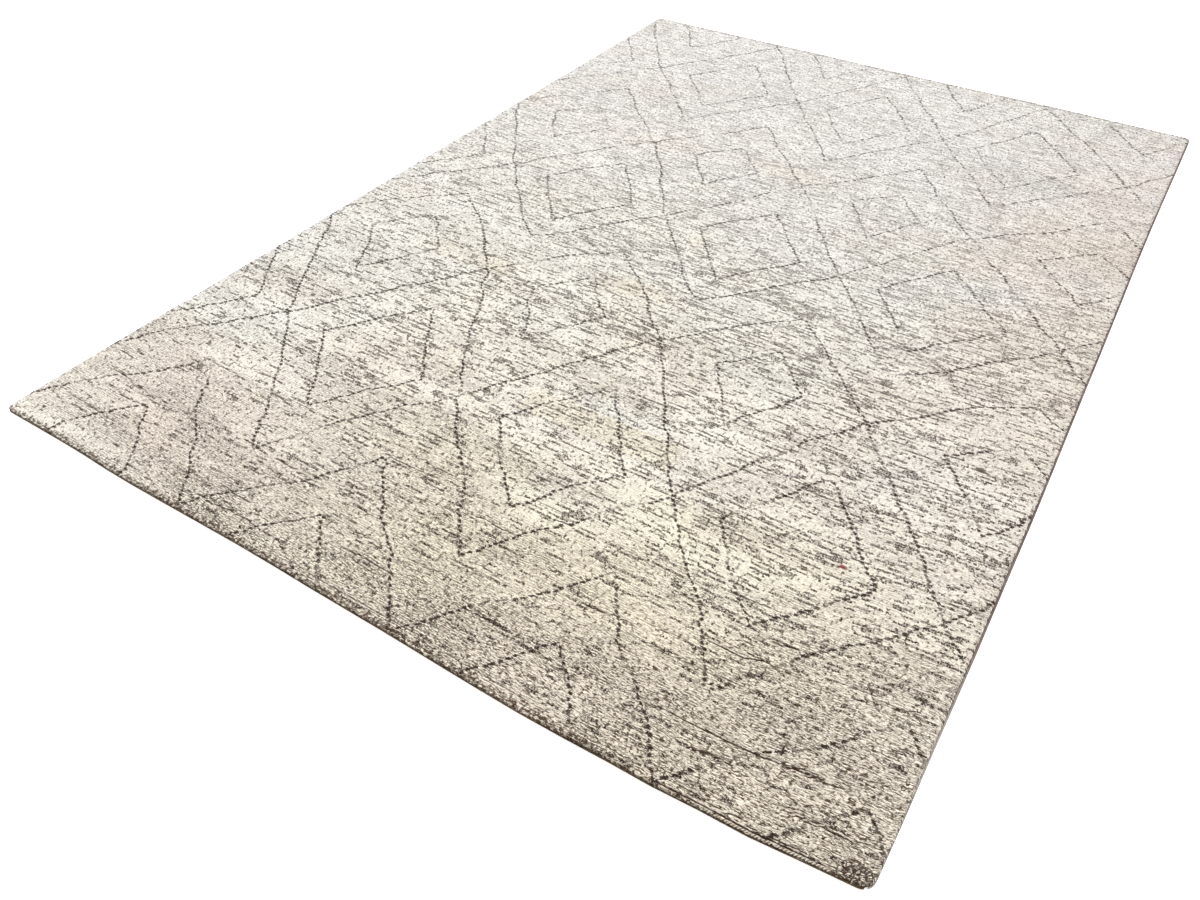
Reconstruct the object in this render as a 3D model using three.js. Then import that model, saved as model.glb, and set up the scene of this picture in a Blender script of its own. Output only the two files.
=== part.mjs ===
// A hand-knotted berber pile rug that lies flat on a floor, in millimetres with +Z up.
// The origin is on the floor under the middle of the rug. +Y runs along its length and
// -Y is the end nearest the viewer, so +X is the viewer's right-hand side.

import * as THREE from 'three';

// The whole rug, over its widest places
const RUG_WIDTH = 2004;
const RUG_LENGTH = 2916;
const PILE_TOP = 12;

// The wound cord that finishes each side: yarn whipped round the edge of the foundation
const CORD_WIDTH = 7;
const CORD_HEIGHT = 6;
const CORD_SIDES = 12;

// Clear space between pieces that touch on the real rug
const PIECE_GAP = 0.3;

// Steps of the outline along one side, and round half of a corner
const SIDE_STEPS = 24;
const HALF_CORNER_STEPS = 3;
const HALF_CORNER = Math.PI / 4;

const PILE_WOOL = { color: 0xdcd2bd, roughness: 0.95, metalness: 0 };
const END_WOOL = { color: 0x8f7f6b, roughness: 0.9, metalness: 0 };
const SELVEDGE_WOOL = { color: 0xa99c95, roughness: 0.9, metalness: 0 };

// The sides in their order round the rug, anticlockwise from above. run is the way along a
// side and outward points away from the rug. halfRun and reach are half the rug's size in
// those two directions, and endRadius rounds the corner at the end of the run. The bow says
// how far the edge lies inside the rug's box, at distances along the run from its middle.
const SIDES = [
  {
    name: 'near_end_binding',
    wool: END_WOOL,
    run: new THREE.Vector2(1, 0),
    outward: new THREE.Vector2(0, -1),
    halfRun: RUG_WIDTH / 2,
    reach: RUG_LENGTH / 2,
    endRadius: 24,
    bow: [
      { along: -970, inside: 10 },
      { along: -800, inside: 10 },
      { along: -600, inside: 5 },
      { along: -250, inside: 8 },
      { along: 0, inside: 5 },
      { along: 400, inside: 0 },
      { along: 600, inside: 5 },
      { along: 800, inside: 14 },
      { along: 970, inside: 30 },
    ],
  },
  {
    name: 'right_selvedge',
    wool: SELVEDGE_WOOL,
    run: new THREE.Vector2(0, 1),
    outward: new THREE.Vector2(1, 0),
    halfRun: RUG_LENGTH / 2,
    reach: RUG_WIDTH / 2,
    endRadius: 14,
    bow: [
      { along: -1400, inside: 8 },
      { along: -1230, inside: 5 },
      { along: -890, inside: 1.5 },
      { along: -520, inside: 0 },
      { along: 0, inside: 2 },
      { along: 700, inside: 5 },
      { along: 1430, inside: 1 },
    ],
  },
  {
    name: 'far_end_binding',
    wool: END_WOOL,
    run: new THREE.Vector2(-1, 0),
    outward: new THREE.Vector2(0, 1),
    halfRun: RUG_WIDTH / 2,
    reach: RUG_LENGTH / 2,
    endRadius: 20,
    bow: [
      { along: -970, inside: 3 },
      { along: -550, inside: 0 },
      { along: -130, inside: 6 },
      { along: 320, inside: 1 },
      { along: 560, inside: 4 },
      { along: 970, inside: 3 },
    ],
  },
  {
    name: 'left_selvedge',
    wool: SELVEDGE_WOOL,
    run: new THREE.Vector2(0, -1),
    outward: new THREE.Vector2(-1, 0),
    halfRun: RUG_LENGTH / 2,
    reach: RUG_WIDTH / 2,
    endRadius: 14,
    bow: [
      { along: -1420, inside: 3 },
      { along: 500, inside: 2 },
      { along: 1430, inside: 0 },
    ],
  },
];

// Section of the field at its edge, from the floor up: the foundation stands inside the
// cord, and the pile above it leans out over the cord and is worn round at the top.
const FIELD_SECTION = [
  { inset: CORD_WIDTH + PIECE_GAP, height: 0 },
  { inset: CORD_WIDTH + PIECE_GAP, height: CORD_HEIGHT + PIECE_GAP },
  { inset: 1.6, height: CORD_HEIGHT + 1 },
  { inset: 0.8, height: 8.4 },
  { inset: 1.6, height: 10.4 },
  { inset: 4, height: PILE_TOP },
];

// How far a side's edge lies inside the rug's box, eased between the rows of its bow
function bowAt(side, along) {
  const rows = side.bow;
  const last = rows[rows.length - 1];
  if (along <= rows[0].along) {
    return rows[0].inside;
  }
  if (along >= last.along) {
    return last.inside;
  }
  const after = rows.findIndex((row) => row.along > along);
  const from = rows[after - 1];
  const to = rows[after];
  const share = (along - from.along) / (to.along - from.along);
  const eased = (1 - Math.cos(Math.PI * share)) / 2;
  return from.inside + (to.inside - from.inside) * eased;
}

// A place given by its distances along and outward of a side
function placeOn(side, along, out) {
  return side.run.clone().multiplyScalar(along).addScaledVector(side.outward, out);
}

// One station of the outline: a point on it and its outward normal. turn is the angle from
// the side's own normal towards the end of its run.
function cornerStation(side, centre, radius, turn) {
  const normal = placeOn(side, Math.sin(turn), Math.cos(turn));
  return { point: centre.clone().addScaledVector(normal, radius), normal };
}

// The stations of one side, from the middle of the corner before it to the middle of the
// corner after it, less half the gap between two cords.
function sideStations(index) {
  const side = SIDES[index];
  const before = SIDES[(index + SIDES.length - 1) % SIDES.length];
  const after = SIDES[(index + 1) % SIDES.length];
  const startRadius = before.endRadius;
  const endRadius = side.endRadius;
  const start = -(side.halfRun - startRadius - before.bow[before.bow.length - 1].inside);
  const end = side.halfRun - endRadius - after.bow[0].inside;
  const startCentre = placeOn(side, start, side.reach - startRadius - bowAt(side, start));
  const endCentre = placeOn(side, end, side.reach - endRadius - bowAt(side, end));
  const startTurn = HALF_CORNER - Math.asin(PIECE_GAP / 2 / (startRadius - CORD_WIDTH));
  const endTurn = HALF_CORNER - Math.asin(PIECE_GAP / 2 / (endRadius - CORD_WIDTH));

  const stations = [];
  for (let step = HALF_CORNER_STEPS; step > 0; step -= 1) {
    const turn = (-startTurn * step) / HALF_CORNER_STEPS;
    stations.push(cornerStation(side, startCentre, startRadius, turn));
  }
  for (let step = 0; step <= SIDE_STEPS; step += 1) {
    const along = start + ((end - start) * step) / SIDE_STEPS;
    const point = placeOn(side, along, side.reach - bowAt(side, along));
    stations.push({ point, normal: side.outward });
  }
  for (let step = 1; step <= HALF_CORNER_STEPS; step += 1) {
    const turn = (endTurn * step) / HALF_CORNER_STEPS;
    stations.push(cornerStation(side, endCentre, endRadius, turn));
  }
  return stations;
}

// The point of a station at an inset from the outline and a height over the floor
function stationPoint(station, inset, height) {
  const flat = station.point.clone().addScaledVector(station.normal, -inset);
  return new THREE.Vector3(flat.x, flat.y, height);
}

// A closed solid through rings of equally many points, capped at its first and last ring.
// The rings run anticlockwise as seen from the last one, and so does the cap's contour.
function closedLoft(rings, capContour) {
  const ringSize = rings[0].length;
  const indices = [];
  for (let ring = 0; ring + 1 < rings.length; ring += 1) {
    for (let item = 0; item < ringSize; item += 1) {
      const here = ring * ringSize + item;
      const beside = ring * ringSize + ((item + 1) % ringSize);
      indices.push(here, beside, beside + ringSize);
      indices.push(here, beside + ringSize, here + ringSize);
    }
  }
  const lastRing = (rings.length - 1) * ringSize;
  for (const [a, b, c] of THREE.ShapeUtils.triangulateShape(capContour, [])) {
    indices.push(c, b, a);
    indices.push(lastRing + a, lastRing + b, lastRing + c);
  }
  const geometry = new THREE.BufferGeometry().setFromPoints(rings.flat());
  geometry.setIndex(indices);
  geometry.computeVertexNormals();
  return geometry;
}

// The field: the foundation and the pile knotted on it, one flat solid
function fieldGeometry() {
  const stations = SIDES.flatMap((side, index) => sideStations(index));
  const rings = FIELD_SECTION.map(({ inset, height }) => (
    stations.map((station) => stationPoint(station, inset, height))
  ));
  const contour = stations.map((station) => station.point.clone());
  return closedLoft(rings, contour);
}

// Section of a wound cord in inset and height: round, and pressed flat where it lies
function cordSection() {
  const centreHeight = 0.46 * CORD_HEIGHT;
  const section = [];
  for (let corner = 0; corner < CORD_SIDES; corner += 1) {
    const angle = (2 * Math.PI * corner) / CORD_SIDES;
    const inset = (CORD_WIDTH / 2) * (1 + Math.cos(angle));
    const height = centreHeight + (CORD_HEIGHT - centreHeight) * Math.sin(angle);
    section.push(new THREE.Vector2(inset, Math.max(0, height)));
  }
  return section;
}

// The cord along one side
function cordGeometry(index) {
  const section = cordSection();
  const rings = sideStations(index).map((station) => (
    section.map((corner) => stationPoint(station, corner.x, corner.y))
  ));
  return closedLoft(rings, section);
}

function namedMesh(name, geometry, wool) {
  const mesh = new THREE.Mesh(geometry, new THREE.MeshStandardMaterial(wool));
  mesh.name = name;
  return mesh;
}

const rug = new THREE.Group();
rug.name = 'berber_pile_rug';
rug.add(namedMesh('rug_field', fieldGeometry(), PILE_WOOL));
SIDES.forEach((side, index) => {
  rug.add(namedMesh(side.name, cordGeometry(index), side.wool));
});

export default rug;
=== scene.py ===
"""Looks of a hand-knotted berber pile rug that lies flat on a pale floor.

All lengths are metres unless a name says mm. The rug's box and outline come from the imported
frame; the cords, the pile's relief, the knots and their pattern are worked out here.
"""
import math

import bpy
import numpy as np
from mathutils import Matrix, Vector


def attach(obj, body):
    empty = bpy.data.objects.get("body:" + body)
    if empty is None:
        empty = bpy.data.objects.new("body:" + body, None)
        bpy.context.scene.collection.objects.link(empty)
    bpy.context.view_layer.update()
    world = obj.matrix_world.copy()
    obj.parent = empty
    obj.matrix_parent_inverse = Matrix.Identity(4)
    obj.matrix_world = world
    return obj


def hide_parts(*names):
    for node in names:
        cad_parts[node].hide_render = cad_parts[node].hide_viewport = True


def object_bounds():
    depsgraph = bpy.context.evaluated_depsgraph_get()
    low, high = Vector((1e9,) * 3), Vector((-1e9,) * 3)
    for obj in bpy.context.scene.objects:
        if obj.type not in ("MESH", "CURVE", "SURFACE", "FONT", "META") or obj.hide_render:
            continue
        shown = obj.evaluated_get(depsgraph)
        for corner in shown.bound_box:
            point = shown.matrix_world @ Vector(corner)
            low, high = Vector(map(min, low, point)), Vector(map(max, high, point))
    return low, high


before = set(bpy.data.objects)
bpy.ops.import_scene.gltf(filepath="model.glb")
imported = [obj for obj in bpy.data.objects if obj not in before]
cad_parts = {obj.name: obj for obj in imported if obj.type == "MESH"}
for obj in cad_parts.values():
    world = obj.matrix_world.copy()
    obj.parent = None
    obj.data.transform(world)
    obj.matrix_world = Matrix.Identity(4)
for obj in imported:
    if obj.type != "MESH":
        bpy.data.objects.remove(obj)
CAD_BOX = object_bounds()

MM = 0.001
SEED = 29

# The rug, from the frame
RUG_LOW = np.array(CAD_BOX[0])
RUG_HIGH = np.array(CAD_BOX[1])
RUG_WIDTH = RUG_HIGH[0] - RUG_LOW[0]
RUG_LENGTH = RUG_HIGH[1] - RUG_LOW[1]

# The widest ring of the CAD field lies at this height, inside the cords' outline
WIDEST_HEIGHT = 8.4 * MM
WIDEST_INSET = 0.8 * MM
OUTLINE_POINTS = 4800

# The pile: a grid of points, two to a row of knots, in lengthwise strips. The foundation has
# one in BACK_STEP of the grid's lines. The ends' bow fades out towards the middle.
GRID_ACROSS = 360
GRID_ALONG = 1056
STRIPS = 5
BACK_STEP = 12
BOW_FADES_OVER = 0.35

# Sizes in the wool: a knot's yarn end, a strand of ruffled wool, a dash of heather and a tuft
# of the pebbled corner
YARN_END_WIDTH = 4.3 * MM
STRAND_LENGTH = 11 * MM
STRAND_WIDTH = 1.9 * MM
TICK_PITCH = 5.0 * MM
PEBBLE_SIZE = 7.5 * MM

# Edge of the pile, from its top surface out and down to the foundation
SKIRT = (
    # inset from the outline, height
    (4.2 * MM, 11.2 * MM),
    (2.2 * MM, 10.3 * MM),
    (1.0 * MM, 8.8 * MM),
    (1.6 * MM, 7.2 * MM),
    (7.3 * MM, 6.3 * MM),
)
FOUNDATION_TOP = SKIRT[-1][1]
SELVEDGE_SHOWS = 3.8 * MM

# The near edge is modelled in finer steps, and its wool hangs loosest. LOOSEST is the most
# by which it stands out.
NEAR_FINER = 4
LOOSE_WOOL = 1.3 * MM
LOOSEST = 1.7 * MM
OTHER_SIDES_LOOSE = 0.25

# The edge's brown, partly the tufts' own dark feet and partly painted shade: its share on the
# long sides, and how it reaches onto the pile, grid line by grid line from the end. The right
# part of the near edge has none.
LONG_SIDES_BROWN = 0.4
NEAR_BROWN = (0.30, 0.24, 0.16, 0.08, 0.03)
FAR_BROWN = 5 * (0.16,)
NEAR_BROWN_UNTIL = 1.50
NEAR_BROWN_FADE = 0.20

# The wound cords. They are pressed flat, so their axis lies below half their height.
CORD_WIDTH = 7 * MM
CORD_HEIGHT = 6 * MM
CORD_MIDDLE = 0.46 * CORD_HEIGHT
CORD_SIDES = 8
CORD_CUT = 0.13
TURN_PITCH = 2.4 * MM
TURN_RINGS = 2

# The pale cord that lies on the near edge, left of the near right corner
WHIPPING_FROM = 1.66
WHIPPING_TO = 1.945
WHIPPING_INSET = 3.0 * MM
WHIPPING_HEIGHT = 9.6 * MM
WHIPPING_SINKS = 2.2 * MM
WHIPPING_WIDTH = 4.6 * MM
WHIPPING_CUT = 0.3
WHIPPING_PITCH = 5.6 * MM
WHIPPING_RINGS = 4

# Columns of the diamond lattice: where each crosses the near and the far end, from the
# left edge. Odd ones carry the upward points of the zigzags and even ones the downward.
COLUMNS = (
    # near end, far end
    (-0.010, -0.010),
    (0.254, 0.263),
    (0.556, 0.546),
    (0.810, 0.810),
    (1.112, 1.048),
    (1.385, 1.312),
    (1.649, 1.552),
    (1.951, 1.886),
    (2.230, 2.160),
)
HALF_PITCH = 0.274

# Rows of the lattice: distance from the near end, and the phase there. A whole phase is a
# downward point of the zigzag, and one module of the pattern lies between two of them.
LATTICE_ROWS = (
    # distance, phase
    (0.008, 0.800),
    (0.150, 0.925),
    (0.210, 1.000),
    (0.341, 1.109),
    (0.574, 1.357),
    (1.018, 1.800),
    (1.215, 2.000),
    (1.297, 2.109),
    (1.528, 2.357),
    (1.911, 2.800),
    (2.104, 3.000),
    (2.224, 3.109),
    (2.458, 3.357),
    (2.884, 3.800),
    (3.072, 4.000),
)

# The rows slant by up to this much a metre across, and they lie this much farther along at
# the near left corner
LATTICE_SKEW = 0.058
LEFT_CORNER_LIFT = 0.05

# The lines of one module: each point is a phase and the line's distance from an even column,
# in half pitches
ZIGZAG = ((0.0, 0.0), (0.357, 1.0), (0.8, 0.0), (1.109, 1.0))
LOW_DIAMOND = ((0.135, 0.0), (0.357, 0.57), (0.587, 0.0))
HIGH_DIAMOND = ((0.608, 1.0), (0.8, 0.58), (0.925, 1.0))

# Places where the wool is lighter or darker, and yellower or pinker
TONE_SPOTS = (
    # across, along, half width, half length, lighter
    (0.40, 0.41, 0.11, 0.045, 0.9),
    (0.82, 0.39, 0.09, 0.05, 1.0),
    (1.36, 0.81, 0.10, 0.03, 0.6),
    (1.64, 0.87, 0.09, 0.06, 0.8),
    (1.64, 1.63, 0.14, 0.05, 0.7),
    (0.80, 2.15, 0.90, 0.035, 0.5),
    (0.48, 0.25, 0.17, 0.06, -0.9),
    (1.10, 0.12, 0.35, 0.04, -0.6),
    (1.70, 0.11, 0.22, 0.045, -0.5),
    (1.68, 1.49, 0.36, 0.025, -0.9),
    (1.80, 1.98, 0.28, 0.025, -1.0),
    (1.24, 1.09, 0.17, 0.06, -0.5),
    (0.06, 2.29, 0.12, 0.03, -0.6),
    (0.20, 0.10, 0.50, 0.20, -0.7),
    (0.45, 1.90, 0.60, 0.40, 0.7),
    (2.05, 1.70, 0.45, 1.30, -1.2),
    (1.75, 2.60, 0.60, 0.45, -0.6),
    (1.50, 0.30, 0.60, 0.32, 1.0),
)
WARM_SPOTS = (
    # across, along, half width, half length, yellower
    (0.92, 1.17, 0.13, 0.05, 0.7),
    (0.95, 1.47, 0.03, 0.09, 0.8),
    (0.60, 1.44, 0.25, 0.05, 0.5),
    (0.82, 1.75, 0.10, 0.035, 0.6),
    (1.36, 2.01, 0.07, 0.03, 0.6),
    (1.76, 2.11, 0.07, 0.06, 0.8),
    (0.12, 2.29, 0.14, 0.03, 0.8),
    (0.58, 2.30, 0.09, 0.025, 0.6),
    (0.04, 2.85, 0.06, 0.05, 1.1),
    (1.60, 0.53, 0.35, 0.09, 0.4),
    (1.30, 0.28, 0.35, 0.10, 0.3),
    (1.50, 0.15, 0.60, 0.30, 0.45),
    (1.00, 0.90, 0.80, 0.35, 0.30),
    (0.05, 0.70, 0.40, 0.90, -0.3),
    (0.15, 0.15, 0.45, 0.40, -0.5),
)
PINK_SPOTS = (
    # across, along, half width, half length, pinker
    (0.30, 0.20, 0.50, 0.30, 0.8),
    (0.75, 0.10, 0.30, 0.12, 0.2),
    (2.05, 1.60, 0.45, 1.60, 0.7),
    (0.30, 2.60, 0.40, 0.25, 0.2),
    (1.50, 0.06, 0.50, 0.14, 0.3),
)

# Lots of wool that begin and end sharply at a row
WOOL_LOTS = (
    # from across, to across, from along, to along, yellower, lighter
    (0.93, 1.34, 0.62, 0.70, 0.35, -0.2),
    (1.04, 1.28, 0.70, 0.75, -0.3, 0.4),
    (0.30, 0.62, 1.02, 1.09, 0.3, -0.4),
    (1.30, 1.70, 1.66, 1.74, 0.2, -0.5),
)

# Long cracks between two rows of the pile
CRACKS = (
    # from across, to across, along, depth
    (0.010, 0.190, 0.106, 0.55),
    (0.235, 0.300, 0.087, 0.50),
    (0.520, 0.740, 0.048, 0.75),
    (0.340, 0.440, 0.272, 0.45),
    (0.640, 0.710, 0.202, 0.45),
    (0.930, 1.010, 0.085, 0.60),
    (0.620, 1.660, 0.013, 0.50),
    (1.180, 1.300, 0.114, 0.70),
    (1.350, 1.410, 0.240, 0.60),
    (1.590, 1.760, 0.296, 0.95),
    (1.620, 1.790, 0.238, 0.60),
    (1.580, 1.900, 0.127, 1.00),
    (1.640, 1.725, 0.085, 0.80),
    (1.650, 1.940, 0.003, 1.00),
    (1.690, 1.930, 0.009, 0.60),
    (1.560, 1.730, 0.304, 0.45),
    (1.380, 1.470, 0.244, 0.70),
    (1.470, 1.640, 0.236, 0.55),
    (1.500, 1.760, 0.222, 0.40),
    (1.640, 1.720, 0.262, 0.45),
    (0.220, 0.700, 2.892, 0.26),
    (0.800, 1.180, 2.888, 0.22),
    (1.230, 1.940, 2.893, 0.34),
    (1.290, 1.460, 2.866, 0.30),
    (1.520, 1.900, 2.876, 0.24),
    (0.640, 0.860, 2.858, 0.20),
)
SHORT_CRACKS = 110

# Stray yarn ends: a darker colour where positive, and red where negative
FLECKS = (
    # across, along, half width, half length, strength
    (1.880, 0.965, 0.014, 0.010, 1.0),
    (1.735, 0.572, 0.010, 0.006, -1.0),
    (1.728, 0.560, 0.005, 0.004, -0.7),
)


def smooth_field(rng, shape, spread):
    """Random bumps of unit size whose width is spread, in grid steps along each axis."""
    noise = rng.standard_normal(shape)
    rows = np.fft.fftfreq(shape[0])[:, None]
    columns = np.fft.rfftfreq(shape[1])[None, :]
    blur = np.exp(-2 * (math.pi ** 2) * ((rows * spread[0]) ** 2 + (columns * spread[1]) ** 2))
    field = np.fft.irfft2(np.fft.rfft2(noise) * blur, s=shape)
    return (field - field.mean()) / field.std()


def ease(share):
    """Rises smoothly from 0 to 1 as share does."""
    share = np.clip(share, 0, 1)
    return share * share * (3 - 2 * share)


def falloff(distance, size):
    """1 at no distance, sinking to almost nothing at twice the size."""
    return np.exp(-((distance / size) ** 2))


# The outline


def run_along(steps):
    """The distance from the start at each point of a line, from the steps between points."""
    return np.concatenate([[0], np.cumsum(steps)])


def resample(count, points, *others):
    """count points evenly spaced along an open line of points, both ends included, and the
    values that the others have there."""
    run = run_along(np.linalg.norm(np.diff(points, axis=0), axis=1))
    places = np.linspace(0, run[-1], count)
    lines = []
    for values in (points, *others):
        columns = [np.interp(places, run, values[:, axis]) for axis in (0, 1)]
        lines.append(np.stack(columns, axis=1))
    return lines


def outline_and_normals():
    """The rug's outline as a closed loop of dense points, anticlockwise, with its normals."""
    vertices = np.array([v.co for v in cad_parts["rug_field"].data.vertices])
    ring = vertices[np.abs(vertices[:, 2] - WIDEST_HEIGHT) < 0.2 * MM][:, :2]
    ring = np.unique(ring.round(5), axis=0)
    ring = ring[np.argsort(np.arctan2(ring[:, 1] / RUG_LENGTH, ring[:, 0] / RUG_WIDTH))]
    loop = resample(OUTLINE_POINTS + 1, np.vstack([ring, ring[:1]]))[0][:-1]
    reach = 6
    kernel = np.exp(-0.5 * (np.arange(-reach, reach + 1) / 2.0) ** 2)
    kernel = kernel / kernel.sum()
    padded = np.vstack([loop[-reach:], loop, loop[:reach]])
    loop = np.stack([np.convolve(padded[:, axis], kernel, "valid") for axis in (0, 1)], axis=1)
    along = np.roll(loop, -1, axis=0) - np.roll(loop, 1, axis=0)
    along = along / np.linalg.norm(along, axis=1)[:, None]
    normals = np.stack([along[:, 1], -along[:, 0]], axis=1)
    return loop + normals * WIDEST_INSET, normals


OUTLINE, OUTLINE_NORMALS = outline_and_normals()


def side_points(from_corner, to_corner, count, inset):
    """Points of one side at an inset from the outline, with their outward normals.

    A corner is given by its signs in x and y, and the side runs anticlockwise."""
    start = np.argmax(OUTLINE @ np.array(from_corner))
    end = np.argmax(OUTLINE @ np.array(to_corner))
    if end < start:
        end += len(OUTLINE)
    places = np.arange(start, end + 1) % len(OUTLINE)
    points = OUTLINE[places] - OUTLINE_NORMALS[places] * inset
    line, normals = resample(count, points, OUTLINE_NORMALS[places])
    return line, normals / np.linalg.norm(normals, axis=1)[:, None]


SIDE_CORNERS = {
    "near": ((-1, -1), (1, -1)),
    "right": ((1, -1), (1, 1)),
    "far": ((1, 1), (-1, 1)),
    "left": ((-1, 1), (-1, -1)),
}


def pile_side(side, inset, finer=1):
    """Points and normals of the pile along one side, from left to right or from near to far:
    one to a grid point, or finer times as many. The right one leaves the selvedge bare, but
    for its two ends."""
    cells = GRID_ACROSS if side in ("near", "far") else GRID_ALONG
    points, normals = side_points(*SIDE_CORNERS[side], finer * cells + 1, inset)
    if side in ("far", "left"):
        points, normals = points[::-1], normals[::-1]
    if side == "right":
        share = np.linspace(0, 1, len(points))
        bare = SELVEDGE_SHOWS * ease(share / 0.14) * ease((1 - share) / 0.02)
        points = points - normals * bare[:, None]
    return points, normals


# The pile

ROW_COUNT = GRID_ALONG // 2
ROW_PITCH = (RUG_LENGTH - 2 * SKIRT[0][0]) / ROW_COUNT


def cloth_coordinates():
    """Distances across and along the rug from its near left corner, at each grid point."""
    across = np.linspace(0, RUG_WIDTH, GRID_ACROSS + 1)
    along = np.linspace(0, RUG_LENGTH, GRID_ALONG + 1)
    return np.meshgrid(across, along)


def cloth_plan(inset):
    """Where each grid point of the cloth lies in plan, when its edge is at an inset from the
    outline. The rows follow the bowed ends."""
    near, right, far, left = [pile_side(side, inset)[0] for side in SIDE_CORNERS]
    across, along = cloth_coordinates()
    low = RUG_LOW[:2] + inset
    high = RUG_HIGH[:2] - inset
    share = np.stack([across / RUG_WIDTH, along / RUG_LENGTH], axis=-1)
    plan = low + (high - low) * share

    fade_near = (1 - ease(along[:, :1] / BOW_FADES_OVER))[:, :, None]
    fade_left = (1 - ease(across[:1] / BOW_FADES_OVER))[:, :, None]
    fade_right = fade_left[:, ::-1]
    bent = plan + (left - plan[:, 0])[:, None] * fade_left
    bent += (right - plan[:, -1])[:, None] * fade_right
    for off, fade in ((near - plan[0], fade_near), (far - plan[-1], fade_near[::-1])):
        bent += (off - off[0] * fade_left - off[-1] * fade_right) * fade
    return bent


def pile_plan(rng):
    """Where each grid point of the pile lies in plan, as the tufts lean this way and that."""
    plan = cloth_plan(SKIRT[0][0])
    across, along = cloth_coordinates()
    from_side = np.minimum(across, RUG_WIDTH - across)
    from_end = np.minimum(along, RUG_LENGTH - along)
    inside = ease(np.minimum(from_side, from_end) / (20 * MM))[..., None]
    sway = [smooth_field(rng, across.shape, (6, 5)) for _ in range(2)]
    return plan + 0.8 * MM * inside * np.stack(sway, axis=-1)


def spot_field(spots, across, along):
    """Sum of soft spots at each grid point."""
    total = np.zeros(across.shape)
    for middle_across, middle_along, half_width, half_length, strength in spots:
        spot = falloff(across - middle_across, half_width)
        total += strength * spot * falloff(along - middle_along, half_length)
    return total


def openness():
    """How far the pile is ruffled and its rows gape: most near the end by the viewer."""
    across, along = cloth_coordinates()
    near = np.exp(-((along / 0.30) ** 1.5)) * ease(0.35 + across / 1.6)
    corner = falloff(RUG_WIDTH - across, 0.5) * falloff(along, 0.35)
    return 0.26 + 0.56 * near + 0.25 * corner


def pebbled_corner():
    """1 in the near right corner, where the tufts stand apart like pebbles, and 0 elsewhere."""
    across, along = cloth_coordinates()
    middle_across, middle_along = RUG_WIDTH - 24 * MM, 14 * MM
    return falloff(across - middle_across, 46 * MM) * falloff(along - middle_along, 30 * MM)


def add_lots(across, along, warm, tone):
    """Adds the lots of wool that differ to the fields of warmth and tone."""
    for left, right, low, high, yellower, lighter in WOOL_LOTS:
        inside = ease((across - left) / 0.03) * ease((right - across) / 0.03)
        inside = inside * (along >= low) * (along < high)
        warm += yellower * inside
        tone += lighter * inside


def cloth_fields(rng):
    """Slow changes of the wool over the cloth, one value each at every grid point."""
    across, along = cloth_coordinates()
    from_right = RUG_WIDTH - across

    def drift(spread):
        return smooth_field(rng, across.shape, spread)

    tone = spot_field(TONE_SPOTS, across, along) + 0.3 * drift((2.5, 36))
    warm = spot_field(WARM_SPOTS, across, along) + 0.85 - 0.8 * along
    warm += 0.10 * drift((20, 16))
    pink = spot_field(PINK_SPOTS, across, along) + 0.12 * drift((16, 14))

    # less heather along the near end and the left side, and faint knots in the near corner
    heather = 0.45 * drift((7, 26)) + 0.35 * drift((3, 40))
    heather -= 2.2 * falloff(along, 0.36) + 1.3 * falloff(across, 0.45)
    wear = drift((9, 5)) - 2.6 * falloff(from_right, 0.26) * falloff(along, 0.13)
    ruffle = openness() + (0.03 + 0.10 * falloff(along, 0.9)) * drift((10, 16))
    ruffle += pebbled_corner()

    # the rim of the near left part is paler, a painted highlight where the pile rolls over the
    # edge, and the two sides are darker
    tone += 1.2 * falloff(along, 0.02) * (1 - ease((across - 0.9) / 0.6))
    tone -= 2.0 * falloff(from_right, 0.012) * ease((along - 0.3) / 0.2)
    tone -= 1.2 * falloff(across, 0.009)
    warm -= 1.5 * falloff(across, 0.012)
    add_lots(across, along, warm, tone)
    return {"tone": tone, "warm": warm, "pink": pink.clip(0, 1), "heather": heather,
            "wear": wear, "ruffle": ruffle, "fleck": spot_field(FLECKS, across, along)}


def crack(rng, depth, left, right, along, strength):
    """Opens one crack in the grid of depths. It wanders from row to row."""
    middle, half = (left + right) / 2, (right - left) / 2
    cells = np.arange(max(0, round(left)), min(depth.shape[1], round(right) + 1))
    row = int(along / ROW_PITCH) * 2 + 1
    step = np.where(rng.random(len(cells)) < 0.3, rng.choice([-1, 1], len(cells)), 0)
    wander = np.cumsum(step) - np.linspace(0, step.sum(), len(cells)).round().astype(int)
    rows = np.clip(row + wander.clip(-2, 2), 1, depth.shape[0] - 2)
    taper = np.sqrt((1 - ((cells - middle) / (half + 1)) ** 2).clip(0, 1))
    taper = taper * (0.45 + 0.55 * rng.random(len(cells)))
    depth[rows, cells] = np.maximum(depth[rows, cells], strength * taper)


def grooves(rng, shape):
    """Depth of the cracks that open between rows, from 0 to 1 at each grid point; the pile's
    material paints shade into them. Of the short ones three in four lie near the viewer."""
    depth = np.zeros(shape)
    cell = RUG_WIDTH / GRID_ACROSS
    for left, right, along, strength in CRACKS:
        crack(rng, depth, left / cell, right / cell, along, strength)
    for item in range(SHORT_CRACKS):
        along = rng.uniform(0.02, RUG_LENGTH if item % 4 == 0 else 0.42)
        middle = rng.uniform(0, shape[1])
        half = rng.uniform(3, 16)
        crack(rng, depth, middle - half, middle + half, along, rng.uniform(0.25, 0.8))
    return depth


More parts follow.
